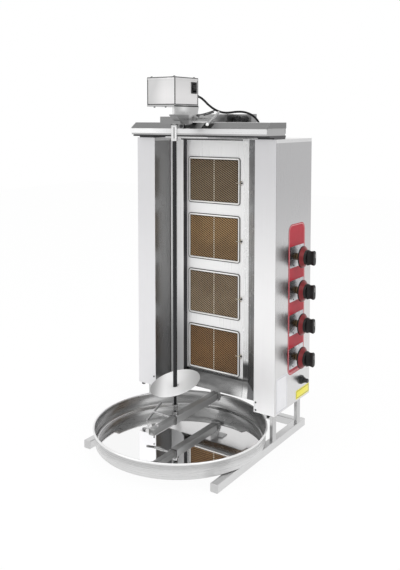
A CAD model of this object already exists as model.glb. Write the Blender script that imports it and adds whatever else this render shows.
"""Doner kebab grill: the looks, built round the packed model. Metres, +Z up, -Y to the front."""

import bmesh
import bpy
import numpy as np
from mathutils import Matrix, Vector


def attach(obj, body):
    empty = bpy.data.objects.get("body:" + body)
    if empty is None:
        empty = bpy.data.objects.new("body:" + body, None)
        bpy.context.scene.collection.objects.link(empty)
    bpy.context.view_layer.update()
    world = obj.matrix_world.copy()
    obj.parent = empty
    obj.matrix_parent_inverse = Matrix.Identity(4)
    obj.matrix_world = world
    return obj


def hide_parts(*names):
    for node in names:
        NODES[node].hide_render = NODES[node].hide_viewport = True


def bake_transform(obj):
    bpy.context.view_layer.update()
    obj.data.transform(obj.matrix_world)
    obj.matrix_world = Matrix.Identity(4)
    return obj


bl_info = {
    "name": "Doner Kebab Grill",
    "version": (1, 0, 0),
    "blender": (4, 5, 0),
    "location": "3D View > Sidebar > Grill",
    "description": "Dresses the packed kebab grill with its metal, burners, knobs and motor cable",
    "category": "Object",
}

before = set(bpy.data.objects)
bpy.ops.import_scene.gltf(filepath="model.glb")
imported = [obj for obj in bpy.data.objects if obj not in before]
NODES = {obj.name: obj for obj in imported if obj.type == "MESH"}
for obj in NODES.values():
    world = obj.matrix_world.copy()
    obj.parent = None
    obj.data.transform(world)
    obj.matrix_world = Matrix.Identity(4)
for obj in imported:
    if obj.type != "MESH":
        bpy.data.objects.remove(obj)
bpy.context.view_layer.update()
TURN = 2 * np.pi

# Places on the model, in metres
SPIT = (-0.0565, -0.0465)
PAN = (-0.024, -0.063)
PANEL_Y = 0.1805
WINDOW_X = -0.0599
BURNER_Z = (0.81445, 0.62195, 0.42945, 0.23695)
BURNER_STEP = 0.1925
WALL_X = 0.2345
KNOB_Y = 0.212
KNOB_Z = (0.584, 0.4755, 0.367, 0.2585)
KNOB_STEP = 0.1085
SPARK_BUTTON = (0, 0.250, 0.1715)
LOWER_ARM_Z = 0.0745
BOX = (-0.061, -0.048, 0)
BOX_SIZE = (0.1035, 0.1195, 0.0022)  # width, depth and corner radius
BOX_FOOT_Z = 1.0632
BOX_HEAD_Z = 1.1440
PAN_FLOOR = 0.02005
PAN_LEDGE = 0.02655
CAMERA = (1.2515, -1.8170, 1.0171)
CAMERA_TURN = (np.radians(85.959), 0, np.radians(34.362))
CAMERA_SHIFT = (-0.00116, -0.2012)
MOTOR_CABLE = [
    (-0.024, 0.02075, 1.090),
    (-0.024, 0.041, 1.090),
    (-0.021, 0.061, 1.080),
    (-0.013, 0.080, 1.062),
    (-0.002, 0.102, 1.0475),
    (0.009, 0.125, 1.040),
    (0.022, 0.146, 1.040),
    (0.037, 0.166, 1.0435),
    (0.0535, 0.184, 1.043),
    (0.070, 0.199, 1.036),
    (0.0835, 0.2095, 1.023),
    (0.092, 0.2145, 1.0085),
    (0.096, 0.216, 0.992),
    (0.096, 0.216, 0.973),
]


# Surfaces: each is a grid of points over two parameters
def revolve(profile, centre, axis="z", sides=48):
    """Each profile row (radius, height) turned once round an axis: radius times (cos, sin), at its height."""
    radius, height = np.array(profile, float).T
    angle = np.linspace(0, TURN, sides + 1)[:, None]
    across, along = radius * np.cos(angle), radius * np.sin(angle)
    grid = np.stack([across, along, np.broadcast_to(height, across.shape)], -1)
    return np.roll(grid, {"z": 0, "x": 1, "y": 2}[axis], -1) + np.array(centre, float)


def tube(path, radius, sides=14, up=(0, 0, 1)):
    """A circle round each path point, square to the path, with both ends drawn in to the path."""
    path = np.array(path, float)
    ahead = np.gradient(path, axis=0)
    ahead /= np.linalg.norm(ahead, axis=1, keepdims=True)
    side = np.cross(ahead, np.array(up, float))
    side /= np.linalg.norm(side, axis=1, keepdims=True)
    over = np.cross(side, ahead)
    path = np.concatenate([path[:1], path, path[-1:]])
    side = np.concatenate([side[:1], side, side[-1:]])
    over = np.concatenate([over[:1], over, over[-1:]])
    radius = np.concatenate([[0.0], np.broadcast_to(radius, len(path) - 2), [0.0]])
    angle = np.linspace(0, TURN, sides + 1)[:, None, None]
    return path + radius[:, None] * (np.cos(angle) * side + np.sin(angle) * over)


def rounded_outline(width, height, corner, inset, steps=6):
    """A rounded rectangle drawn in by each inset, with quarter circles of radius corner minus inset."""
    quarter = np.linspace(0, np.pi / 2, steps)
    angle = (quarter + np.arange(4)[:, None] * np.pi / 2).ravel()
    middle = np.repeat(np.arange(4) * np.pi / 2 + np.pi / 4, steps)
    radius = np.maximum(corner - np.array(inset, float), 0.0)
    over = np.maximum(np.array(inset, float) - corner, 0.0)
    half_w = width / 2 - corner - over
    half_h = height / 2 - corner - over
    a = np.sign(np.cos(middle))[:, None] * np.maximum(half_w, 0) + np.cos(angle)[:, None] * radius
    b = np.sign(np.sin(middle))[:, None] * np.maximum(half_h, 0) + np.sin(angle)[:, None] * radius
    return np.vstack([a, a[:1]]), np.vstack([b, b[:1]])


def slab(width, height, corner, profile, centre, axis="z"):
    """A rounded rectangle at each profile row (inset, height along the axis), for plates and frames."""
    inset, level = np.array(profile, float).T
    if axis == "y":
        b, a = rounded_outline(width, height, corner, inset)
    else:
        a, b = rounded_outline(width, height, corner, inset)
    grid = np.stack([a, b, np.broadcast_to(level, a.shape)], -1)
    return np.roll(grid, {"z": 0, "x": 1, "y": 2}[axis], -1) + np.array(centre, float)


def plate(width, height, corner, thick, edge, centre, axis="z"):
    """A closed plate with soft edges: out, up the side, over the edge radius and in to the middle."""
    middle, soft = max(width, height), edge * 0.3
    rows = [(middle, 0), (0, 0), (0, thick - edge), (soft, thick - soft), (edge, thick), (middle, thick)]
    return slab(width, height, corner, rows, centre, axis)


def ball(centre, radius, sides=20):
    """A sphere: radius times the sine, at minus radius times the cosine, of 0 to half a turn."""
    angle = np.linspace(0, np.pi, sides // 2 + 1)
    return revolve(np.stack([radius * np.sin(angle), -radius * np.cos(angle)], 1), centre, "z", sides)


def screw_head(centre, axis, radius, height):
    """A low dome with a dished middle, turned round its axis; a negative height faces the other way."""
    share = np.array([(0, 0), (1, 0), (1, 0.45), (0.85, 0.8), (0.5, 1), (0.32, 0.7), (0, 0.7)])
    return revolve(share * (radius, height), centre, axis, 20)


def piece(name, grids, finish, body, replaces=(), crease=35):
    """One mesh from grids of points: quads between neighbours, UV from the parameters, seams welded."""
    vertices, faces, uv, first = [], [], [], 0
    for grid in grids:
        rows, columns = grid.shape[:2]
        index = np.arange(rows * columns).reshape(rows, columns) + first
        quads = np.stack([index[:-1, :-1], index[1:, :-1], index[1:, 1:], index[:-1, 1:]], -1).reshape(-1, 4)
        u, v = np.meshgrid(np.linspace(0, 1, rows), np.linspace(0, 1, columns), indexing="ij")
        vertices.append(grid.reshape(-1, 3))
        faces.append(quads)
        uv.append(np.stack([u.ravel(), v.ravel()], 1))
        first += rows * columns
    vertices, faces, uv = np.concatenate(vertices), np.concatenate(faces), np.concatenate(uv)
    mesh = bpy.data.meshes.new(name)
    mesh.from_pydata(vertices.tolist(), [], faces.tolist())
    mesh.uv_layers.new(name="UVMap").data.foreach_set("uv", uv[faces.ravel()].ravel())
    tidy = bmesh.new()
    tidy.from_mesh(mesh)
    bmesh.ops.remove_doubles(tidy, verts=tidy.verts, dist=2e-6)
    bmesh.ops.dissolve_degenerate(tidy, edges=tidy.edges, dist=1e-7)
    bmesh.ops.recalc_face_normals(tidy, faces=tidy.faces)
    tidy.to_mesh(mesh)
    tidy.free()
    mesh.shade_smooth()
    mesh.set_sharp_from_angle(angle=np.radians(crease))
    mesh.materials.append(finish)
    made = bpy.data.objects.new(name, mesh)
    bpy.context.scene.collection.objects.link(made)
    if body:
        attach(made, body)
    if replaces:
        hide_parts(*replaces)
    return made


# Materials
class Wire:
    """An output socket that does arithmetic: each operator adds one Math node to its tree."""

    def __init__(self, socket):
        self.socket = socket

    def maths(self, operation, *values):
        node = self.socket.id_data.nodes.new("ShaderNodeMath")
        node.operation = operation
        for socket, value in zip(node.inputs, values):
            if isinstance(value, Wire):
                self.socket.id_data.links.new(value.socket, socket)
            else:
                socket.default_value = value
        return Wire(node.outputs[0])

    def __add__(self, other):
        return self.maths("ADD", self, other)

    def __radd__(self, other):
        return self.maths("ADD", other, self)

    def __sub__(self, other):
        return self.maths("SUBTRACT", self, other)

    def __rsub__(self, other):
        return self.maths("SUBTRACT", other, self)

    def __mul__(self, other):
        return self.maths("MULTIPLY", self, other)

    def __rmul__(self, other):
        return self.maths("MULTIPLY", other, self)

    def __truediv__(self, other):
        return self.maths("DIVIDE", self, other)

    def __pow__(self, other):
        return self.maths("POWER", self, other)

    def __mod__(self, other):
        return self.maths("FLOORED_MODULO", self, other)

    def __abs__(self):
        return self.maths("ABSOLUTE", self)

    def cosine(self):
        return self.maths("COSINE", self)

    def most(self, other):
        return self.maths("MAXIMUM", self, other)

    def least(self, other):
        return self.maths("MINIMUM", self, other)

    def angle(self, other):
        return self.maths("ARCTAN2", self, other)


class Finish:
    """A material under construction: its Principled shader and the nodes that feed it."""

    def __init__(self, name, metallic=0.0, roughness=0.5, coat=0.0, shine=0.5):
        self.material = bpy.data.materials.new(name)
        self.material.use_nodes = True
        self.tree = self.material.node_tree
        self.shader = self.tree.nodes["Principled BSDF"]
        self.shader.inputs["Metallic"].default_value = metallic
        self.shader.inputs["Roughness"].default_value = roughness
        self.shader.inputs["Coat Weight"].default_value = coat
        self.shader.inputs["Specular IOR Level"].default_value = shine
        place = self.tree.nodes.new("ShaderNodeTexCoord")
        self.place = Wire(place.outputs["Object"])
        self.uv = Wire(place.outputs["UV"])
        self.x, self.y, self.z = self.parts(self.place)

    def node(self, kind, settings=None, values=None, out=0):
        """Add a node: its settings, then the value or link of each socket. Gives one of its outputs."""
        made = self.tree.nodes.new(kind)
        for key, value in (settings or {}).items():
            setattr(made, key, value)
        for key, value in (values or {}).items():
            if isinstance(value, Wire):
                self.tree.links.new(value.socket, made.inputs[key])
            else:
                made.inputs[key].default_value = value
        return Wire(made.outputs[out])

    def parts(self, vector):
        """The three numbers of a vector."""
        split = self.node("ShaderNodeSeparateXYZ", None, {0: vector})
        return split, Wire(split.socket.node.outputs[1]), Wire(split.socket.node.outputs[2])

    def between(self, value, low, high):
        """0 below low, 1 above high, and smooth between them."""
        settings = {"interpolation_type": "SMOOTHSTEP"}
        return self.node("ShaderNodeMapRange", settings, {0: value, 1: low, 2: high})

    def band(self, value, low, high, soft):
        """1 between low and high, with soft edges."""
        begun = self.between(value, low - soft, low + soft)
        return begun * (1 - self.between(value, high - soft, high + soft))

    def noise(self, scale, detail=2.0, stretch=(1, 1, 1)):
        """Cloudy noise over the object, drawn out by a different scale along each axis."""
        where = self.node("ShaderNodeMapping", None, {"Vector": self.place, "Scale": stretch})
        return self.node("ShaderNodeTexNoise", None, {"Vector": where, "Scale": scale, "Detail": detail})

    def mix(self, share, first, second, blend="MIX"):
        """Colour first where share is 0, second where it is 1."""
        pair = {0: share, 6: (*first, 1) if isinstance(first, tuple) else first}
        pair[7] = (*second, 1) if isinstance(second, tuple) else second
        return self.node("ShaderNodeMix", {"data_type": "RGBA", "blend_type": blend}, pair, 2)

    def feed(self, **links):
        """Link wires to the shader's sockets, such as base_color or roughness."""
        for key, wire in links.items():
            self.tree.links.new(wire.socket, self.shader.inputs[key.replace("_", " ").title()])

    def bump(self, height, distance, strength=0.4):
        """Raise the surface by height times distance, in metres."""
        value = {"Height": height, "Distance": distance, "Strength": strength}
        self.feed(normal=self.node("ShaderNodeBump", None, value))


def brushed_steel(name, colour, roughness, along="z", contrast=0.10, paint=None, metallic=1.0):
    """Steel with fine lines along one axis, faint clouds and smudges; paint may change its colour."""
    finish = Finish(name, metallic=metallic, roughness=roughness)
    stretch = [900.0, 900.0, 900.0]
    stretch["xyz".index(along)] = 5.0
    lines = finish.noise(1.0, 3.0, tuple(stretch))
    clouds = finish.noise(7.0, 3.0)
    smudge = finish.between(finish.noise(38.0, 4.0), 0.56, 0.74)
    dark = tuple(c * (1 - 2.2 * contrast) for c in colour)
    light = tuple(min(c * (1 + contrast), 1.0) for c in colour)
    base = finish.mix(lines * 0.6 + clouds * 0.4, dark, light)
    if paint:
        base = paint(finish, base)
    uneven = roughness + (lines - 0.5) * 0.16 + (clouds - 0.5) * 0.10 + smudge * 0.05
    finish.feed(base_color=base, roughness=uneven)
    finish.bump(lines, 0.00025, 0.25)
    return finish.material


def polished_steel(name, colour, roughness):
    """Smooth steel with faint wiping marks and a little unevenness."""
    finish = Finish(name, metallic=1.0, roughness=roughness)
    wipe = finish.noise(30.0, 5.0, (1.0, 4.0, 1.0))
    clouds = finish.noise(5.0, 2.0)
    base = finish.mix(wipe * 0.5 + clouds * 0.5, tuple(c * 0.93 for c in colour), colour)
    finish.feed(base_color=base, roughness=roughness + finish.between(wipe, 0.4, 0.8) * 0.05)
    finish.bump(clouds, 0.0006, 0.15)
    return finish.material


def moulded(name, colour, roughness, coat=0.0, grain=900.0, depth=0.00012, shine=0.3):
    """Moulded plastic or rubber: a fine pebble grain, slight colour drift and rubbed patches."""
    finish = Finish(name, roughness=roughness, coat=coat, shine=shine)
    pebble = finish.noise(grain, 2.0)
    drift = finish.noise(45.0, 3.0)
    pale = tuple(min(c * 1.3 + 0.006, 1.0) for c in colour)
    finish.feed(base_color=finish.mix(finish.between(drift, 0.35, 0.75), colour, pale))
    finish.feed(roughness=roughness + (drift - 0.5) * 0.14)
    finish.bump(pebble, depth, 0.5)
    return finish.material


def painted(name, colour, roughness):
    """Baked paint: orange peel, faint dust and a thin clear layer."""
    finish = Finish(name, roughness=roughness, coat=0.15)
    peel = finish.noise(420.0, 1.0)
    dust = finish.between(finish.noise(22.0, 5.0), 0.5, 0.8)
    finish.feed(base_color=finish.mix(dust * 0.5, colour, tuple(c * 1.6 + 0.01 for c in colour)))
    finish.feed(roughness=roughness + dust * 0.12)
    finish.bump(peel, 0.0002, 0.25)
    return finish.material


def fired_ceramic(name, colour):
    """Porous tile: rows of tiny holes and burnt patches."""
    finish = Finish(name, roughness=0.85)
    wave = TURN / 2 / 0.0022
    hole = abs((finish.x * wave).cosine()) * abs((finish.z * wave).cosine())
    burnt = finish.noise(18.0, 4.0)
    warm = finish.mix(finish.between(burnt, 0.35, 0.7), colour, (0.20, 0.09, 0.035))
    finish.feed(base_color=finish.mix(finish.between(hole, 0.55, 0.8), warm, (0.03, 0.02, 0.012)))
    finish.bump(hole, 0.0006, 0.6)
    return finish.material


def dress(names, material):
    """Give packed nodes a material in their own slots."""
    for name in names:
        slots = NODES[name].material_slots
        for number in range(len(slots)):
            slots[number].material = material


# Sheet metal
class SheetMetalLook(bpy.types.PropertyGroup):
    """Colours and polish of the cabinet's steel."""

    casing: bpy.props.FloatVectorProperty(
        name="Casing", description="Steel of the two wings", subtype="COLOR", default=(0.74, 0.735, 0.735))
    front: bpy.props.FloatVectorProperty(
        name="Fronts", description="Steel of the front covers", subtype="COLOR", default=(0.95, 0.945, 0.95))
    wall: bpy.props.FloatVectorProperty(
        name="Burner wall", description="Steel round the burners", subtype="COLOR", default=(1.0, 1.0, 1.0))
    shade: bpy.props.FloatVectorProperty(
        name="Shaded steel", description="Steel inside the recess",
        subtype="COLOR", default=(0.25, 0.25, 0.25))
    roughness: bpy.props.FloatProperty(
        name="Roughness", description="How soft its reflections are",
        subtype="FACTOR", default=0.30, min=0, max=1)


class KEBAB_OT_sheet_metal(bpy.types.Operator):
    """Dress the wings, the wall round the burners and the canopy."""

    bl_idname = "kebab.sheet_metal"
    bl_label = "Sheet metal"

    def execute(self, context):
        look = context.scene.kebab_sheet
        shade, wall, rough = tuple(look.shade), tuple(look.wall), look.roughness

        def casing_tone(finish, base):
            left = finish.band(finish.x, -0.2268, -0.2240, 0.0004)
            right = finish.band(finish.x, 0.1600, 0.1630, 0.0004)
            fade = finish.between(finish.z, 0.20, 0.42)
            inner = finish.mix(fade, tuple(c * 0.88 for c in shade), shade)
            lip = finish.between(finish.z, 0.9465, 0.9475)
            outer = finish.between(finish.x, 0.2335, 0.2340) * finish.between(finish.z, 0.30, 0.85)
            fold = finish.band(finish.y, 0.0705, 0.0726, 0.0003) * finish.between(finish.x, 0.2335, 0.2340)
            toned = finish.mix(outer, base, (0.68, 0.68, 0.69), "MULTIPLY")
            toned = finish.mix(fold * 0.9, toned, (0.07, 0.07, 0.072))
            return finish.mix(lip * 0.5, finish.mix((left + right) * 0.92, toned, inner), (0.95, 0.95, 0.95))

        def front_tone(finish, base):
            high = finish.between(finish.z, 0.40, 0.92)
            right = finish.between(finish.x, -0.05, 0.05)
            low_tone = finish.mix(right, (0.87, 0.87, 0.88), (1.0, 1.0, 1.0))
            high_tone = finish.mix(right, (0.74, 0.74, 0.75), (0.68, 0.68, 0.69))
            return finish.mix(1.0, base, finish.mix(high, low_tone, high_tone), "MULTIPLY")

        def strip_tone(finish, base):
            low = finish.between(0.50 - finish.z, 0.0, 0.25)
            toned = finish.mix(low, base, (0.52, 0.52, 0.525))
            return finish.mix(finish.between(finish.y, 0.1592, 0.1600), toned, (0.030, 0.030, 0.034))

        def cheek_tone(finish, base):
            slope = finish.between(finish.x, 0.0775, 0.0790)
            rubbed = finish.noise(3.0, 3.0, (6.0, 6.0, 1.0))
            grey = finish.mix(finish.between(rubbed, 0.3, 0.7), (0.30, 0.30, 0.31), (0.50, 0.50, 0.50))
            low = finish.between(0.36 - finish.z, 0.0, 0.16)
            foot = finish.band(finish.z, 0.155, 0.215, 0.012)
            face = finish.mix(foot * 0.95, base, (0.03, 0.03, 0.03))
            return finish.mix(slope, face, finish.mix(low * 0.9, grey, (0.04, 0.04, 0.04)))

        def canopy_tone(finish, base):
            slope = finish.band(finish.z, 0.9893, 1.0086, 0.0004)
            lit = finish.mix(finish.between(-0.10 - finish.x, 0.0, 0.12), base, (0.97, 0.97, 0.97))
            return finish.mix(slope, lit, (0.225, 0.225, 0.225))

        def apron_tone(finish, base):
            fold = finish.x + (finish.y - 0.179) * 0.473
            streak = finish.noise(7.0, 3.0, (1.0, 3.0, 4.0))
            cloudy = finish.mix(finish.between(streak, 0.35, 0.7), (0.07, 0.07, 0.07), (0.16, 0.16, 0.16))
            bright = finish.between(fold, 0.005, 0.060) * finish.between(0.146 - finish.z, 0.0, 0.030)
            strip = finish.band(fold, 0.0580, 0.0770, 0.0006)
            pale = finish.mix(bright * 0.8, cloudy, (0.52, 0.52, 0.52))
            face = finish.mix(strip * finish.between(0.140 - finish.z, 0.0, 0.020), pale, (0.52, 0.52, 0.52))
            line = finish.band(fold, 0.0568, 0.0582, 0.0004)
            side = finish.between(fold, 0.0765, 0.0775)
            return finish.mix((line + side).least(1.0) * 0.9, face, (0.075, 0.075, 0.077))

        dark = painted("Dark canopy base", (0.030, 0.030, 0.032), 0.35)
        sheets = {
            ("left_casing", "right_casing", "back_panel", "bottom_plate"):
                brushed_steel("Drawn casing steel", tuple(look.casing), rough, "z", 0.06, casing_tone),
            ("left_front_cover", "right_front_cover"):
                brushed_steel("Bright front steel", tuple(look.front), rough + 0.06, "z", 0.04, front_tone,
                              0.7),
            ("burner_panel",): brushed_steel("Burner wall steel", wall, rough, "z", 0.02, None, 0.15),
            ("left_strip",): brushed_steel("Left strip steel", wall, rough, "z", 0.03, strip_tone, 0.1),
            ("right_cheek",): brushed_steel("Slanted cheek steel", wall, 0.26, "z", 0.06, cheek_tone, 0.5),
            ("apron",): brushed_steel("Apron steel", (0.30, 0.30, 0.30), 0.24, "x", 0.14, apron_tone),
            ("canopy_cover",):
                brushed_steel("Canopy steel", (0.80, 0.80, 0.80), rough, "x", 0.06, canopy_tone),
            ("canopy_box",): brushed_steel("Inner canopy steel", (0.50, 0.50, 0.50), 0.38, "x", 0.10),
            ("canopy_base",): dark,
        }
        for names, steel in sheets.items():
            dress(names, steel)

        across = np.linspace(-0.172, 0.070, 8)
        bar = tube(np.stack([across, across * 0 + 0.1500, across * 0 + 0.9540], 1), 0.0040, 16)
        piece("canopy_under_bar", [bar], dark, "frame")
        foot = [(0, 0.0995), (0.0052, 0.0995), (0.0062, 0.1003), (0.0062, 0.1052), (0.0040, 0.1060),
                (0.0040, 0.1085), (0, 0.1085)]
        feet = [revolve(foot, (-0.2860, 0.0800, 0), "z", 24), revolve(foot, (0.2090, 0.0800, 0), "z", 6)]
        steel = polished_steel("Foot steel", (0.16, 0.16, 0.165), 0.32)
        piece("casing_feet", feet, steel, "frame")
        return {"FINISHED"}


# Burners
class BurnerLook(bpy.types.PropertyGroup):
    """Colours and mesh size of the burners."""

    wire: bpy.props.FloatVectorProperty(
        name="Wire", description="Lit side of the gauze", subtype="COLOR", default=(0.44, 0.34, 0.22))
    gap: bpy.props.FloatVectorProperty(
        name="Gaps", description="Depth between the wires", subtype="COLOR", default=(0.022, 0.013, 0.008))
    pitch: bpy.props.FloatProperty(
        name="Mesh pitch", description="Height of one diamond",
        subtype="DISTANCE", unit="LENGTH", default=0.0075)


class KEBAB_OT_burners(bpy.types.Operator):
    """Lay a diamond gauze over each burner, inside a pressed frame."""

    bl_idname = "kebab.burners"
    bl_label = "Burners"

    def gauze(self, middle, pitch):
        """A height field of two sets of ridges, cosines of across over 1.75 plus and minus up, in pitches."""
        x = np.linspace(-0.0970, 0.0970, 181)[:, None]
        z = np.linspace(-0.0720, 0.0720, 135)[None, :]
        falling = np.abs(np.cos(np.pi * (x / 1.75 + z) / pitch))
        rising = np.abs(np.cos(np.pi * (x / 1.75 - z) / pitch))
        seam = np.exp(-((x / 0.0016) ** 2))
        depth = PANEL_Y + 0.0016 - 0.0018 * np.maximum(falling**4, 0.7 * rising**4) - 0.0006 * seam
        return np.stack(np.broadcast_arrays(WINDOW_X + x, depth, middle + z), -1)

    def execute(self, context):
        look = context.scene.kebab_burners
        wave = TURN / 2 / look.pitch

        gauze = Finish("Scorched gauze", metallic=0.2, roughness=0.55, shine=0.3)
        half = BURNER_STEP / 2
        row = (gauze.z - (BURNER_Z[-1] - half)) % BURNER_STEP - half
        across = gauze.x - WINDOW_X
        falling = gauze.between(abs(((across / 1.75 + row) * wave).cosine()), 0.62, 0.92)
        rising = gauze.between(abs(((across / 1.75 - row) * wave).cosine()), 0.80, 0.97)
        heat = gauze.between(gauze.noise(9.0, 3.0), 0.35, 0.68)
        wire = np.array(look.wire)
        tints = [tuple(wire * scale) for scale in
                 ((0.85, 0.62, 0.42), (0.98, 0.98, 1.0), (1.05, 0.86, 0.62), (0.74, 0.72, 0.70))]
        tone = tints[0]
        for tint, foot in zip(tints[1:], (0.333, 0.526, 0.718)):
            tone = gauze.mix(gauze.between(gauze.z, foot - 0.01, foot + 0.01), tone, tint)
        lit = gauze.mix(heat * 0.45, tone, (0.20, 0.13, 0.075))
        wires = gauze.mix(rising * 0.55, tuple(look.gap), gauze.mix(0.5, lit, (0.06, 0.04, 0.03)))
        wires = gauze.mix(falling, wires, lit)
        stitch = gauze.between(abs((row * wave).cosine()), 0.45, 0.7)
        seam = gauze.band(across, -0.0014, 0.0014, 0.0004) * stitch
        edge_shade = gauze.between(across, 0.0905, 0.0935) + gauze.between(row, 0.0670, 0.0695)
        shaded = gauze.mix(edge_shade.least(1.0) * 0.8, wires, (0.012, 0.009, 0.007))
        gauze.feed(base_color=gauze.mix(seam, shaded, (0.85, 0.78, 0.64)))
        gauze.bump(falling, 0.0004, 0.3)

        edge = Finish("Pressed burner frame", metallic=0.4, roughness=0.30)
        outline = edge.parts(edge.uv)[1]
        brushed = edge.noise(1.0, 2.0, (300.0, 300.0, 300.0))
        ring = edge.mix(edge.between(outline, 0.36, 0.40), (0.030, 0.032, 0.034), (0.93, 0.92, 0.90))
        edge.feed(base_color=edge.mix(edge.between(outline, 0.84, 0.88), ring, (0.10, 0.09, 0.08)))
        edge.feed(roughness=0.22 + brushed * 0.2)
        edge.bump(brushed, 0.0002, 0.2)

        meshes, frames = [], []
        rows = [(0.0, 0.0), (0.0, -0.0022), (0.0006, -0.0029), (0.0022, -0.0029), (0.0030, -0.0021),
                (0.0036, -0.0021), (0.0044, -0.0026), (0.0070, -0.0026), (0.0078, -0.0018), (0.0082, 0.0)]
        for middle in BURNER_Z:
            meshes.append(self.gauze(middle, look.pitch))
            frames.append(slab(0.2074, 0.1575, 0.010, rows, (WINDOW_X, PANEL_Y, middle), "y"))
        piece("burner_gauzes", meshes, gauze.material, "frame", ("burner_grilles",), 80)
        piece("burner_frames", frames, edge.material, "frame", (), 40)

        ceramic = fired_ceramic("Fired burner tile", (0.42, 0.30, 0.18))
        stained = brushed_steel("Heat stained steel", (0.42, 0.40, 0.37), 0.42, "x", 0.12)
        dress(("burner_tiles",), ceramic)
        dress(("burner_bodies",), stained)

        pins, bases = [], []
        for middle in BURNER_Z:
            z = middle - 0.004
            needle = [(0.0505, 0.1730, z), (0.0440, 0.1728, z), (0.0380, 0.1732, z),
                      (0.0300, 0.1740, z - 0.0006)]
            upper = [(0.0500, 0.1790, z + 0.0055), (0.0500, 0.1740, z + 0.0065), (0.0500, 0.1700, z + 0.0045)]
            lower = [(0.0505, 0.1790, z - 0.0055), (0.0505, 0.1740, z - 0.0065), (0.0505, 0.1705, z - 0.0050)]
            pins.append(tube(needle, (0.0011, 0.0011, 0.0010, 0.0007), 10))
            pins.append(tube(upper, (0.0010, 0.0012, 0.0013), 10, (1, 0, 0)))
            pins.append(tube(lower, (0.0010, 0.0012, 0.0012), 10, (1, 0, 0)))
            turned = [(0, 0), (0.0030, 0), (0.0030, -0.0025), (0.0024, -0.0030), (0.0024, -0.0060),
                      (0.0016, -0.0078), (0, -0.0080)]
            bases.append(revolve(turned, (0.0495, PANEL_Y - 0.0003, z), "y", 18))
        pin = moulded("Glazed electrode pins", (0.55, 0.49, 0.38), 0.35, 0.3, 300.0, 0.00005)
        foot = painted("Scorched electrode foot", (0.020, 0.018, 0.016), 0.5)
        piece("electrode_pins", pins, pin, "frame", ("spark_electrodes",))
        piece("electrode_bases", bases, foot, "frame")
        return {"FINISHED"}


# Controls
class ControlLook(bpy.types.PropertyGroup):
    """Colours of the control side."""

    skirt: bpy.props.FloatVectorProperty(
        name="Knob skirt", description="Red of the skirts", subtype="COLOR", default=(0.155, 0.004, 0.007))
    strip: bpy.props.FloatVectorProperty(
        name="Strip", description="Red of the control strip", subtype="COLOR", default=(0.40, 0.018, 0.034))
    blank: bpy.props.FloatVectorProperty(
        name="Blank plate", description="Yellow of the lower plate",
        subtype="COLOR", default=(0.86, 0.78, 0.06))


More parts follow.
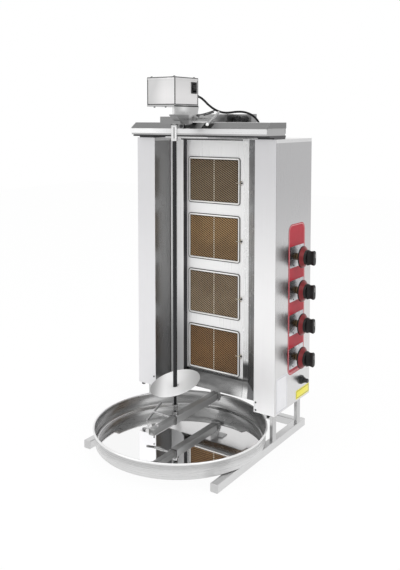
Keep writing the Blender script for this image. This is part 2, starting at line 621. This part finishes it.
class KEBAB_OT_controls(bpy.types.Operator):
    """Make the knobs, the red strip, the plates and the spark button."""

    bl_idname = "kebab.controls"
    bl_label = "Controls"

    def grip(self, z):
        """Superellipses: half width by the cosine and half height by the sine, each to the power 0.55."""
        t = np.linspace(0, 1, 26)
        ends = np.sqrt(np.clip(1 - np.clip((t - 0.86) / 0.14, 0, 1) ** 2, 0, 1)) * 0.25 + 0.75
        ends = np.where(t >= 1, 0.0, ends)
        waist = 1 - 0.10 * np.sin(np.pi * np.clip(t / 0.9, 0, 1)) ** 2
        half_h = 0.0248 * waist * ends * (1 - 0.06 * t)
        half_w = 0.0098 * (1 - 0.22 * np.sin(np.pi * np.clip(t, 0, 1))) * ends
        angle = np.linspace(0, TURN, 49)[:, None]
        cosine, sine = np.cos(angle), np.sin(angle)
        across = half_w * np.sign(cosine) * np.abs(cosine) ** 0.55
        up = half_h * np.sign(sine) * np.abs(sine) ** 0.55
        out = 0.2735 + 0.0252 * t
        return np.stack([np.broadcast_to(out, across.shape), KNOB_Y + across, z + up], -1)

    def execute(self, context):
        look = context.scene.kebab_controls
        red = moulded("Deep red moulding", tuple(look.skirt), 0.34, 0.08, 700.0, 0.00006)
        black = moulded("Black grip moulding", (0.007, 0.006, 0.006), 0.36, 0.0, 800.0, 0.0001)
        pale = moulded("Pale pointer line", (0.62, 0.60, 0.58), 0.5)
        for number, z in enumerate(KNOB_Z, start=1):
            back = [(0.0342, 0.2592), (0.0051, 0.2620), (0.0051, 0.2546), (0.0330, 0.2546), (0.0346, 0.2549),
                    (0.0351, 0.2558), (0.0351, 0.2580), (0.0342, 0.2592)]
            flare = [(0.0051, 0.2620), (0.0342, 0.2592), (0.0334, 0.2598), (0.0312, 0.2616), (0.0290, 0.2638),
                     (0.0266, 0.2662), (0.0245, 0.2679), (0.0238, 0.2690), (0.0051, 0.2690), (0.0051, 0.2620)]
            hub = [(0, 0.2806), (0.0051, 0.2806), (0.0051, 0.2690), (0.0238, 0.2690), (0.0234, 0.2700),
                   (0.0232, 0.2742), (0.0224, 0.2754), (0.0206, 0.2757), (0.0056, 0.2757), (0.0056, 0.2810),
                   (0, 0.2810)]
            at = (0, KNOB_Y, z)
            body = f"knob_body_{number}"
            rim, skirt, boss = (revolve(rows, at, "x", 64) for rows in (back, flare, hub))
            piece(f"knob_rim_{number}", [rim], black, body, (f"knob_{number}",))
            piece(f"knob_skirt_{number}", [skirt], red, body)
            piece(f"knob_grip_{number}", [boss, self.grip(z)], black, body)
            line = plate(0.0016, 0.014, 0.0006, 0.0007, 0.0003, (0.2984, KNOB_Y, z + 0.008), "x")
            side = plate(0.0180, 0.0012, 0.0005, 0.0006, 0.0002, (0.2830, KNOB_Y, z + 0.0213), "z")
            piece(f"knob_pointer_{number}", [line, side], pale, body)

        film = Finish("Red strip film", roughness=0.40, shine=0.2)
        across, up = abs(film.y - 0.2115), abs(film.z - 0.449)
        corner_a, corner_b = (across - 0.0315).most(0.0), (up - 0.217).most(0.0)
        border = (corner_a**2 + corner_b**2) ** 0.5
        line = film.band(border, 0.0195, 0.0212, 0.0003)
        foot = film.band(film.z, 0.2150, 0.2166, 0.0003) * film.band(film.y, 0.172, 0.245, 0.002)
        worn = film.noise(60.0, 4.0)
        ground = film.mix(film.between(worn, 0.4, 0.7) * 0.35, tuple(look.strip), (0.46, 0.04, 0.06))
        film.feed(base_color=film.mix((line + foot).least(1.0) * 0.75, ground, (0.86, 0.55, 0.56)))
        film.feed(roughness=0.28 + worn * 0.12)
        dress(("control_strip",), film.material)

        label = Finish("Satin dial plate", metallic=1.0, roughness=0.26)
        height = (label.z - KNOB_Z[-1] + KNOB_STEP / 2) % KNOB_STEP - KNOB_STEP / 2
        radius = ((label.y - KNOB_Y) ** 2 + height**2) ** 0.5
        turned = (label.y - KNOB_Y).angle(height)
        tick = label.band(radius, 0.0365, 0.0400, 0.0002) * label.between((turned * 12).cosine(), 0.90, 0.96)
        drawn = label.noise(1.0, 3.0, (900.0, 7.0, 900.0))
        smoke = label.noise(26.0, 3.0)
        silver = label.mix(label.between(smoke, 0.40, 0.66), (0.46, 0.46, 0.48), (0.66, 0.66, 0.68))
        label.feed(base_color=label.mix(tick, silver, (0.02, 0.02, 0.02)), roughness=0.20 + drawn * 0.16)
        label.bump(drawn, 0.0002, 0.2)
        dress(("label_plates",), label.material)

        dark = polished_steel("Dark screw steel", (0.10, 0.10, 0.105), 0.30)
        heads = []
        for z in KNOB_Z:
            heads.append(screw_head((WALL_X + 0.0014, KNOB_Y - 0.043, z + 0.016), "x", 0.0023, 0.0013))
            heads.append(screw_head((WALL_X + 0.0014, KNOB_Y - 0.022, z - 0.026), "x", 0.0023, 0.0013))
        piece("dial_plate_screws", heads, dark, "frame")

        brass = polished_steel("Tap brass", (0.16, 0.11, 0.06), 0.32)
        dress(("gas_valves", "gas_inlet"), brass)
        stem = polished_steel("Spindle brass", (0.11, 0.08, 0.05), 0.34)
        dress([f"valve_spindle_{n}" for n in range(1, 5)], stem)
        dress(("gas_manifold", "gas_pipes"), polished_steel("Gas pipe steel", (0.55, 0.55, 0.55), 0.25))

        button = moulded("Spark button moulding", (0.018, 0.018, 0.019), 0.36, 0.2, 900.0, 0.00008)
        dress(("igniter_body",), button)
        cap = [(0, 0.212), (0.00695, 0.212), (0.00695, 0.2586), (0.0064, 0.2600), (0.0052, 0.2606),
               (0.0030, 0.2602), (0, 0.2598)]
        piece("spark_button_cap", [revolve(cap, SPARK_BUTTON, "x", 40)], button, "igniter_push",
              ("igniter_button",))
        nut = [(0.0092, 0.2410), (0.0118, 0.2410), (0.0120, 0.2425), (0.0108, 0.2440), (0.0092, 0.2440),
               (0.0092, 0.2410)]
        piece("spark_button_ring", [revolve(nut, SPARK_BUTTON, "x", 40)], button, "frame")

        def card(name, ground, rim, centre_y, centre_z, width, height):
            made = Finish(name, roughness=0.42, coat=0.25)
            beside = abs(made.y - centre_y) - (width / 2 - 0.0045)
            above = abs(made.z - centre_z) - (height / 2 - 0.0045)
            frame_line = made.band(beside.most(above), 0.0, 0.0016, 0.0003)
            paper = made.noise(300.0, 3.0)
            drift = made.noise(40.0, 2.0)
            pulp = made.mix(drift * 0.4, ground, tuple(c * 0.88 for c in ground))
            made.feed(base_color=made.mix(frame_line, pulp, rim), roughness=0.36 + drift * 0.15)
            made.bump(paper, 0.00008, 0.3)
            return made.material

        face = WALL_X + 0.00002
        white = (0.117, 0.1665, 0.074, 0.111)
        yellow = (0.2625, 0.1285, 0.094, 0.029)
        white_card = card("Blank white plate", (0.78, 0.78, 0.80), (0.42, 0.42, 0.46), *white)
        yellow_card = card("Blank yellow plate", tuple(look.blank), (0.03, 0.03, 0.02), *yellow)
        cards = (("blank_white_plate", white_card, 0.0006, white),
                 ("blank_yellow_plate", yellow_card, 0.0007, yellow))
        for name, finish, thick, (y, z, width, height) in cards:
            sheet = plate(width, height, 0.0025, thick, 0.0002, (face, y, z), "x")
            piece(name, [sheet], finish, "frame")
        return {"FINISHED"}


# Motor head, upper arm and cable
class HeadLook(bpy.types.PropertyGroup):
    """Colours of the motor box and the cable's size."""

    box: bpy.props.FloatVectorProperty(
        name="Motor box", description="Steel of the motor box", subtype="COLOR", default=(0.80, 0.79, 0.79))
    cable: bpy.props.FloatProperty(
        name="Cable", description="Diameter of the motor cable",
        subtype="DISTANCE", unit="LENGTH", default=0.007)


class KEBAB_OT_motor_head(bpy.types.Operator):
    """Dress the motor box, its tray, the upper arm and the clamp screw."""

    bl_idname = "kebab.motor_head"
    bl_label = "Motor head"

    def execute(self, context):
        look = context.scene.kebab_head

        def box_tone(finish, base):
            front = 1 - finish.between(finish.y, -0.1070, -0.1060)
            left = finish.between(-0.045 - finish.x, 0.0, 0.060) * front
            top = finish.between(finish.z, 1.085, 1.144) * 0.5
            return finish.mix((left + top).least(1.0) * 0.7, base, (0.50, 0.50, 0.50))

        def tray_tone(finish, base):
            lip = finish.band(finish.z, 1.0565, 1.0605, 0.0003) * finish.between(finish.x, -0.0120, -0.0110)
            glow = finish.band(finish.y, -0.080, -0.045, 0.022) * finish.between(finish.z, 1.035, 1.050)
            bar = finish.between(1.034 - finish.z, 0.0, 0.003) * finish.between(-0.030 - finish.y, 0.0, 0.010)
            shaded = finish.mix(bar * 0.8, base, (0.22, 0.22, 0.22))
            return finish.mix(lip, finish.mix(glow * 0.8, shaded, (0.85, 0.85, 0.85)), (0.03, 0.03, 0.03))

        box = brushed_steel("Motor box steel", tuple(look.box), 0.40, "z", 0.04, box_tone, 0.8)
        tray = brushed_steel("Carriage steel", (0.52, 0.52, 0.52), 0.30, "y", 0.10, tray_tone)
        arm = brushed_steel("Arm tube steel", (0.46, 0.46, 0.46), 0.32, "y", 0.08)
        seam = painted("Dark seam", (0.035, 0.035, 0.037), 0.4)
        dark = polished_steel("Dark bolt steel", (0.09, 0.09, 0.095), 0.30)
        bracket = painted("Black bracket", (0.018, 0.018, 0.019), 0.38)
        black = moulded("Black switch moulding", (0.006, 0.006, 0.0065), 0.38, 0.0, 900.0, 0.0001, 0.2)
        dress(("motor_housing",), box)
        dress(("motor_carriage",), tray)
        dress(("top_tube",), arm)
        dress(("rear_bracket",), brushed_steel("Bracket steel", (0.30, 0.30, 0.30), 0.30, "x", 0.10))
        shape = np.array([(0, -9), (0.8, -9), (1, -7.8), (1, -5), (0.8, -4), (1, -3), (1, 0), (0, 0)])
        bolts = [revolve(shape * (radius, 0.001), (x, 0.2680, z), "y", 24)
                 for x, z, radius in ((-0.019, 1.024, 0.0085), (0.008, 1.020, 0.0110))]
        piece("bracket_bolts", bolts, bracket, "frame")
        dress(("switch_frame", "rocker_switch", "motor_gland", "panel_gland"), black)
        dress(("gear_motor",), painted("Cast motor grey", (0.10, 0.105, 0.11), 0.6))

        lid = [(0.0002, 1.1375), (-0.0010, 1.1375), (-0.0012, BOX_HEAD_Z), (-0.0006, 1.1454),
               (0.0008, 1.1459), (0.08, 1.1459)]
        piece("motor_box_lid", [slab(*BOX_SIZE, lid, BOX, "z")], box, "carriage")
        rim = [(-0.0010, 1.1424), (-0.0018, 1.1430), (-0.0018, 1.1446), (-0.0010, 1.1452), (0.0008, 1.1452),
               (0.0008, 1.1424), (-0.0010, 1.1424)]
        foot = [(i, h - 0.0804) for i, h in rim]
        edges = [slab(*BOX_SIZE, rim, BOX, "z"),
                 slab(*BOX_SIZE, foot, BOX, "z")]
        for x, y in ((-0.0098, -0.1072), (-0.1122, -0.1072), (-0.0098, 0.0112), (-0.1122, 0.0112)):
            edges.append(tube([(x, y, z) for z in (BOX_FOOT_Z, 1.10, BOX_HEAD_Z)], 0.0017, 12, (1, 0, 0)))
        piece("motor_box_seams", edges, seam, "carriage")

        heads = [screw_head((x, y, 1.1457), "z", 0.0036, 0.0028)
                 for x, y in ((-0.104, -0.098), (-0.018, -0.099), (-0.018, 0.003), (-0.104, 0.003))]
        heads += [screw_head((x, y, 1.0570), "z", 0.0030, -0.0032)
                  for x, y in ((-0.092, -0.100), (-0.050, -0.100), (-0.092, 0.004), (-0.030, 0.004))]
        piece("motor_box_screws", heads, dark, "carriage")

        # Each rod climbs 0.170 for 1 along the arm and sags 1.2 mm, half a sine wave, between its ends
        stays = []
        for drop, start in ((-0.0012, 0.018), (0.0034, 0.050)):
            y = np.linspace(start, 0.112 - drop * 2, 10)
            z = 1.0302 - drop + (y - 0.018) * 0.170 - 0.0012 * np.sin((y - 0.018) / 0.094 * np.pi)
            stays.append(tube(np.stack([y * 0 - 0.0125, y, z], 1), 0.0021, 10))
        knuckle = [(0, -0.0190), (0.0052, -0.0190), (0.0060, -0.0180), (0.0060, -0.0145), (0.0052, -0.0135),
                   (0, -0.0135)]
        stays.append(revolve(knuckle, (0.0035, 0.0165, 1.0285), "x", 24))
        rod = painted("Dark stay rods", (0.030, 0.030, 0.032), 0.42)
        piece("stay_rods", stays, rod, "carriage")

        steel = brushed_steel("Clamp screw steel", (0.42, 0.42, 0.42), 0.24, "x", 0.14)
        dress(("top_clamp_handle", "slider_clamp_handle"), steel)
        white = moulded("Pale tip", (0.80, 0.80, 0.78), 0.35, 0.2)
        lean, reach = np.radians(60.0), 0.003 - 0.036
        low = (0.0565, -0.006 + reach * np.sin(lean), 1.020 + reach * np.cos(lean))
        piece("clamp_tip", [ball(low, 0.0048)], white, "top_clamp")
        return {"FINISHED"}


class KEBAB_OT_motor_cable(bpy.types.Operator):
    """Run the motor cable from the box to the cabinet top."""

    bl_idname = "kebab.motor_cable"
    bl_label = "Motor cable"

    def execute(self, context):
        look = context.scene.kebab_head
        line = bpy.data.curves.new("cable_line", "CURVE")
        line.dimensions = "3D"
        line.resolution_u = 10
        spline = line.splines.new("NURBS")
        spline.points.add(len(MOTOR_CABLE) - 1)
        spline.points.foreach_set("co", np.column_stack([MOTOR_CABLE, np.ones(len(MOTOR_CABLE))]).ravel())
        spline.order_u = 3
        spline.use_endpoint_u = True
        guide = bpy.data.objects.new("cable_line", line)
        traced = bpy.data.meshes.new_from_object(guide)
        path = np.empty(len(traced.vertices) * 3)
        traced.vertices.foreach_get("co", path)
        path = path.reshape(-1, 3)
        bpy.data.objects.remove(guide)
        rubber = Finish("Cable rubber", roughness=0.46, shine=0.2)
        along = rubber.parts(rubber.uv)[1]
        ring = abs((along * 900.0).cosine())
        scuff = rubber.noise(60.0, 3.0)
        rubber.feed(base_color=rubber.mix(scuff * 0.5, (0.005, 0.005, 0.0055), (0.012, 0.012, 0.013)))
        rubber.feed(roughness=0.40 + scuff * 0.15)
        rubber.bump(ring * 0.3 + scuff, 0.0002, 0.3)
        cable = piece("motor_cable_sheath", [tube(path, look.cable / 2, 20)], rubber.material, None,
                      ("motor_cable",), 60)
        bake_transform(cable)
        relief = [(0.0038, 0.0), (0.0064, 0.0), (0.0066, 0.0012), (0.0060, 0.006), (0.0052, 0.011),
                  (0.0042, 0.0150), (0.0037, 0.0155), (0.0036, 0.0), (0.0038, 0.0)]
        black = moulded("Strain relief moulding", (0.016, 0.016, 0.017), 0.40)
        piece("motor_strain_relief", [revolve(relief, (-0.024, 0.0206, 1.090), "y", 28)], black, "carriage")
        piece("cabinet_strain_relief", [revolve(relief, (0.096, 0.216, 0.9730), "z", 28)], black, "frame")
        return {"FINISHED"}


# Spit, lower arm, pan and base
class LowerLook(bpy.types.PropertyGroup):
    """Colours of the spit, the pan and the base."""

    shaft: bpy.props.FloatVectorProperty(
        name="Spit", description="Steel of the spit", subtype="COLOR", default=(0.040, 0.040, 0.042))
    pan: bpy.props.FloatVectorProperty(
        name="Pan", description="Steel of the drip pan", subtype="COLOR", default=(0.62, 0.62, 0.62))
    floor_roughness: bpy.props.FloatProperty(
        name="Pan floor", description="Roughness of its polished floor",
        subtype="FACTOR", default=0.035, min=0, max=1)


class KEBAB_OT_spit(bpy.types.Operator):
    """Dress the spit, its disc, the sleeve and the lower arm."""

    bl_idname = "kebab.spit"
    bl_label = "Spit and lower arm"

    def execute(self, context):
        look = context.scene.kebab_lower
        x, y = SPIT
        dress(("spit_shaft",), polished_steel("Spit steel", tuple(look.shaft), 0.22))
        sleeve = [(0, 0.953), (0.0066, 0.9525), (0.0088, 0.952), (0.0100, 0.9528), (0.0100, 0.9575),
                  (0.0096, 0.9580), (0.0096, 0.9590), (0.0100, 0.9595), (0.0100, 0.9955), (0.0096, 0.9960),
                  (0.0096, 0.9970), (0.0100, 0.9975), (0.0100, 1.0022), (0.0094, 1.0030), (0.0070, 1.0030),
                  (0.0070, 1.0730), (0, 1.0730)]
        bright = polished_steel("Sleeve steel", (0.86, 0.86, 0.86), 0.16)
        piece("drive_sleeve_turned", [revolve(sleeve, (x, y, 0), "z", 48)], bright, "spit",
              ("drive_sleeve",))
        flange = [(0.0098, 1.0002), (0.0116, 1.0004), (0.0122, 1.0010), (0.0122, 1.0022), (0.0114, 1.0030),
                  (0.0092, 1.0030), (0.0098, 1.0002)]
        collar_steel = polished_steel("Dark collar steel", (0.07, 0.07, 0.072), 0.3)
        piece("sleeve_collar", [revolve(flange, (x, y, 0), "z", 40)], collar_steel, "spit")
        slot_angle = np.radians(-62.0)
        out = np.array([np.cos(slot_angle), np.sin(slot_angle)]) * 0.0093
        slot = tube([(x + out[0], y + out[1], z) for z in (0.9600, 0.975, 0.9945)], 0.0014, 12, (1, 0, 0))
        piece("sleeve_slot", [slot], painted("Slot shadow", (0.02, 0.02, 0.02), 0.6), "spit")

        def disc_tone(finish, base):
            across = (finish.x - x) * 0.826 + (finish.y - y) * 0.564
            left = finish.between(-0.025 - across, 0.0, 0.050) * 0.9
            shaded = finish.mix(left, base, (0.22, 0.22, 0.22))
            return finish.mix(finish.between(across, 0.0, 0.085), shaded, (0.50, 0.50, 0.50))

        disc = brushed_steel("Disc steel", (0.97, 0.97, 0.97), 0.42, "x", 0.02, disc_tone, 0.15)
        dress(("spit_disc",), disc)
        arm = brushed_steel("Lower arm steel", (0.40, 0.40, 0.40), 0.34, "y", 0.05, None, 0.6)
        dress(("arm_socket",), arm)
        arm_middle = (x, 0, LOWER_ARM_Z)
        length = [(0.02, -0.1650), (0, -0.1650), (0, 0.1920), (0.02, 0.1920)]
        end = [(0.02, -0.1672), (0.0007, -0.1672), (0, -0.1665), (0, -0.1652), (0.02, -0.1652)]
        bar = [slab(0.020, 0.020, 0.0022, length, arm_middle, "y"),
               slab(0.0216, 0.0216, 0.0016, end, arm_middle, "y")]
        piece("arm_bar_rounded", bar, arm, "frame", ("arm_bar",), 50)
        rows = [(0.0023, -0.0617), (0.0005, -0.0621), (0, -0.0614), (0, 0.1776), (0.0005, 0.1780),
                (0.0023, 0.1780), (0.0023, -0.0617)]
        boss = [(0.0047, -0.0735), (0.0062, -0.0740), (0.0070, -0.0733), (0.0070, -0.0685), (0.0047, -0.0685)]
        slider = [slab(0.025, 0.025, 0.0028, rows, arm_middle, "y"),
                  revolve(boss, (0, -0.052, 0.078), "x", 28)]
        piece("arm_slider_rounded", slider, arm, "lower_slider", ("arm_slider",), 50)
        rim = [(-0.0002, -0.0620), (-0.0012, -0.0616), (-0.0012, -0.0570), (-0.0002, -0.0566),
               (-0.0002, -0.0620)]
        piece("arm_slider_edge", [slab(0.025, 0.025, 0.0028, rim, arm_middle, "y")],
              polished_steel("Slider edge", (0.16, 0.16, 0.16), 0.3), "lower_slider")
        dress(("spit_bearing",), polished_steel("Bearing steel", (0.45, 0.45, 0.45), 0.25))
        dress(("screws",), polished_steel("Cover screws", (0.06, 0.06, 0.062), 0.35))

        # A helix: 4.5 turns of 6.8 mm radius over 14.5 mm of the spit
        turns = np.linspace(0, 1, 120)
        angle = turns * TURN * 4.5
        coil = np.stack([x + 0.0068 * np.cos(angle), y + 0.0068 * np.sin(angle), 0.1020 + 0.0145 * turns], 1)
        collar = [(0.0046, 0.1170), (0.0086, 0.1170), (0.0088, 0.1180), (0.0088, 0.1205), (0.0084, 0.1215),
                  (0.0046, 0.1215), (0.0046, 0.1170)]
        tail = polished_steel("Tail collar steel", (0.34, 0.34, 0.34), 0.24)
        spring = [tube(coil, 0.0011, 8), revolve(collar, (x, y, 0), "z", 32)]
        piece("tail_spring", spring, tail, "spit")

        lug = slab(0.020, 0.007, 0.0016, [(0.02, 0), (0, 0), (0, 0.0040), (0.001, 0.0048), (0.02, 0.0048)],
                   (x + 0.030, y + 0.002, 0.1700), "z")
        piece("disc_lug", [lug], polished_steel("Lug steel", (0.74, 0.74, 0.74), 0.28), "disc")

        wing_y = -0.1500
        bolt = [(0, -0.0250), (0.0030, -0.0250), (0.0034, -0.0240), (0.0034, -0.0060), (0.0068, -0.0060),
                (0.0068, 0.0), (0, 0.0)]
        parts = [revolve(bolt, (x - 0.010, wing_y, LOWER_ARM_Z), "x", 20)]
        # The wing's rise and its taper go with the square of the way from its middle
        sweep = np.linspace(-1, 1, 15)
        rise = LOWER_ARM_Z + 0.004 * sweep**2 + sweep * 0.004
        wing = np.stack([sweep * 0 + x - 0.0330, wing_y + sweep * 0.0125, rise], 1)
        parts.append(tube(wing, 0.0024 * (1 - 0.35 * sweep**2), 12))
        for offset in (-0.006, 0.005):
            parts.append(screw_head((x + offset, wing_y + offset * 1.5, 0.0843), "z", 0.0030, 0.0050))
        steel = polished_steel("Wing bolt steel", (0.66, 0.66, 0.66), 0.26)
        piece("bar_end_bolts", parts, steel, "frame")
        return {"FINISHED"}


class KEBAB_OT_pan_and_base(bpy.types.Operator):
    """Dress the drip pan, the rails and the legs."""

    bl_idname = "kebab.pan_and_base"
    bl_label = "Pan and base"

    def arc(self, across, up, radius, start, stop, steps):
        """Points of a circle: the centre plus radius times cosine and sine, from start to stop degrees."""
        angle = np.radians(np.linspace(start, stop, steps))
        return np.stack([across + radius * np.cos(angle), up + radius * np.sin(angle)], 1)

    def execute(self, context):
        look = context.scene.kebab_lower
        pan = Finish("Pan steel", metallic=1.0)
        radius = ((pan.x - PAN[0]) ** 2 + (pan.y - PAN[1]) ** 2) ** 0.5
        wall = pan.between(radius, 0.2530, 0.2600)
        outside = pan.between(radius - pan.z * 0.085, 0.2606, 0.2611)
        rings = pan.noise(1.0, 3.0, (14.0, 14.0, 800.0))
        clouds = pan.noise(6.0, 3.0)
        inner = pan.mix(rings * 0.5 + clouds * 0.5, tuple(c * 0.52 for c in look.pan), tuple(look.pan))
        outer = pan.mix(rings * 0.5 + clouds * 0.5, (0.56, 0.56, 0.56), (0.70, 0.70, 0.70))
        floor = pan.mix(clouds, (0.95, 0.95, 0.95), (0.99, 0.99, 0.99))
        rear = pan.between(pan.y, 0.03, 0.15)
        rolled = pan.between(pan.z, 0.0705, 0.0715)
        edge = pan.mix(rear, (0.86, 0.86, 0.86), (0.36, 0.36, 0.36))
        inside = pan.mix(rear * 0.35, inner, (0.16, 0.16, 0.16))
        sides = pan.mix(rolled, pan.mix(outside, inside, outer), edge)
        pan.feed(base_color=pan.mix(wall, floor, sides), metallic=1.0 - outside * (1 - rolled) * 0.65)
        pan.feed(roughness=look.floor_roughness + wall * 0.25 + (rings - 0.5) * wall * 0.12)
        pan.bump(rings * wall, 0.0003, 0.2)
        profile = np.concatenate([
            [(0, 0.01855), (0.2010, 0.01855), (0.2140, 0.02505)],
            self.arc(0.25846, 0.03105, 0.0060, -90, -4.5, 8),
            self.arc(0.2678, 0.0728, 0.0032, -90, 242, 20),
            self.arc(0.25283, 0.03705, 0.0105, -4.7, -90, 10),
            [(0.21365, PAN_LEDGE), (0.20065, PAN_FLOOR), (0, PAN_FLOOR)]])
        dish = piece("drip_pan_spun", [revolve(profile, (*PAN, 0), "z", 192)], pan.material, "drip_pan",
                     ("drip_pan",), 50)
        # The floor's step reflects as if it were level; zero keeps a corner's own normal
        height = np.array([corner.co.z for corner in dish.data.vertices])
        level = (abs(height - PAN_LEDGE) < 1e-5) | (abs(height - PAN_FLOOR) < 1e-5)
        upright = np.where(level[:, None], (0.0, 0.0, 1.0), (0.0, 0.0, 0.0))
        dish.data.normals_split_custom_set_from_vertices(upright.tolist())
        rails = brushed_steel("Rail steel", (0.70, 0.70, 0.70), 0.32, "y", 0.08)
        dress(("left_rail", "right_rail"), rails)
        dress(("rear_cross_tube",), brushed_steel("Cross tube steel", (0.66, 0.66, 0.66), 0.32, "x", 0.08))
        dress(("rail_end_caps",), brushed_steel("Cap steel", (0.62, 0.62, 0.62), 0.40, "x", 0.08))
        dress(("cabinet_legs",), brushed_steel("Leg steel", (0.58, 0.58, 0.58), 0.30, "z", 0.10))
        return {"FINISHED"}


# Stage
class StageLook(bpy.types.PropertyGroup):
    """Floor, lamps and camera."""

    floor: bpy.props.FloatVectorProperty(
        name="Floor", description="Colour of the floor", subtype="COLOR", default=(0.96, 0.96, 0.96))
    level: bpy.props.FloatProperty(
        name="Level", description="Strength of the surrounding light", default=0.92, min=0)
    lamp: bpy.props.FloatProperty(
        name="Lamps", description="Brightness of each lamp's face", default=0.97, min=0)
    lens: bpy.props.FloatProperty(
        name="Lens", description="Focal length", subtype="DISTANCE_CAMERA", default=45.133)


class KEBAB_OT_stage(bpy.types.Operator):
    """Lay the floor, hang the lamps and set the camera."""

    bl_idname = "kebab.stage"
    bl_label = "Stage"

    def execute(self, context):
        look = context.scene.kebab_stage
        ground = Finish("Pale floor", roughness=0.75)
        ground.shader.inputs["Base Color"].default_value = (*look.floor, 1)
        rays = ground.node("ShaderNodeLightPath", out="Is Camera Ray")
        seen = rays.most(Wire(rays.socket.node.outputs["Is Glossy Ray"]))
        seen = seen.most(Wire(rays.socket.node.outputs["Is Transmission Ray"]))
        white = ground.node("ShaderNodeEmission", None, {"Color": (1, 1, 1, 1), "Strength": 1.0})
        output = ground.tree.nodes["Material Output"]
        lit = Wire(ground.shader.outputs[0])
        mixed = ground.node("ShaderNodeMixShader", None, {0: seen * 0.92, 1: lit, 2: white})
        ground.tree.links.new(mixed.socket, output.inputs["Surface"])
        size = np.linspace(-7, 7, 15)
        grid = np.stack(np.broadcast_arrays(size[:, None], size[None, :], 0.0), -1)
        floor = piece("studio_floor", [grid], ground.material, None)

        world = bpy.data.worlds.new("Studio")
        context.scene.world = world
        world.use_nodes = True
        tree = world.node_tree
        path = tree.nodes.new("ShaderNodeLightPath")
        seen = Wire(path.outputs["Is Camera Ray"]).most(Wire(path.outputs["Is Transmission Ray"]))
        glossy = Wire(path.outputs["Is Glossy Ray"])
        strength = look.level + seen * (1 - look.level) + glossy * (0.96 - look.level)
        background = tree.nodes["Background"]
        background.inputs["Color"].default_value = (1, 1, 1, 1)
        tree.links.new(strength.least(1.0).socket, background.inputs["Strength"])

        lamps = [("Key", (-1.7, -2.3, 2.4), 2.2, (-0.1, 0.0, 0.5)),
                 ("Fill", (2.6, -0.6, 1.9), 1.8, (0.1, 0.1, 0.5)),
                 ("Top", (0.2, -0.3, 3.4), 2.2, (0.0, 0.0, 0.4))]
        for name, place, width, aim in lamps:
            lamp = bpy.data.lights.new(name, "AREA")
            lamp.size = width
            lamp.energy = look.lamp * np.pi * width**2
            holder = bpy.data.objects.new(name, lamp)
            context.scene.collection.objects.link(holder)
            holder.location = place
            holder.rotation_euler = (Vector(aim) - Vector(place)).to_track_quat("-Z", "Y").to_euler()

        camera = bpy.data.cameras.new("Camera")
        camera.lens = look.lens
        camera.sensor_width = 36
        camera.shift_x, camera.shift_y = CAMERA_SHIFT
        camera.clip_end = 40
        viewer = bpy.data.objects.new("Camera", camera)
        context.scene.collection.objects.link(viewer)
        viewer.location = CAMERA
        viewer.rotation_euler = CAMERA_TURN
        context.scene.camera = viewer
        context.scene.view_settings.view_transform = "Standard"
        return {"FINISHED"}


STEPS = (KEBAB_OT_sheet_metal, KEBAB_OT_burners, KEBAB_OT_controls, KEBAB_OT_motor_head, KEBAB_OT_motor_cable,
         KEBAB_OT_spit, KEBAB_OT_pan_and_base, KEBAB_OT_stage)
LOOKS = {"kebab_sheet": SheetMetalLook, "kebab_burners": BurnerLook, "kebab_controls": ControlLook,
         "kebab_head": HeadLook, "kebab_lower": LowerLook, "kebab_stage": StageLook}


class KEBAB_PT_grill(bpy.types.Panel):
    """The steps, and the sizes and colours that they use."""

    bl_label = "Kebab Grill"
    bl_space_type = "VIEW_3D"
    bl_region_type = "UI"
    bl_category = "Grill"

    def draw(self, context):
        for step in STEPS:
            self.layout.operator(step.bl_idname)
        for name, group in LOOKS.items():
            box = self.layout.box()
            box.label(text=group.__doc__)
            for field in group.__annotations__:
                box.prop(getattr(context.scene, name), field)


def register():
    for group in LOOKS.values():
        bpy.utils.register_class(group)
    for item in (*STEPS, KEBAB_PT_grill):
        bpy.utils.register_class(item)
    for name, group in LOOKS.items():
        setattr(bpy.types.Scene, name, bpy.props.PointerProperty(type=group))


def unregister():
    for name in LOOKS:
        delattr(bpy.types.Scene, name)
    for item in (KEBAB_PT_grill, *reversed(STEPS)):
        bpy.utils.unregister_class(item)
    for group in LOOKS.values():
        bpy.utils.unregister_class(group)


def main():
    """Register the classes, run each step in order and write the two boxes."""
    register()
    for step in STEPS:
        getattr(bpy.ops.kebab, step.bl_idname.split(".")[1])()


if __name__ == "__main__":
    main()
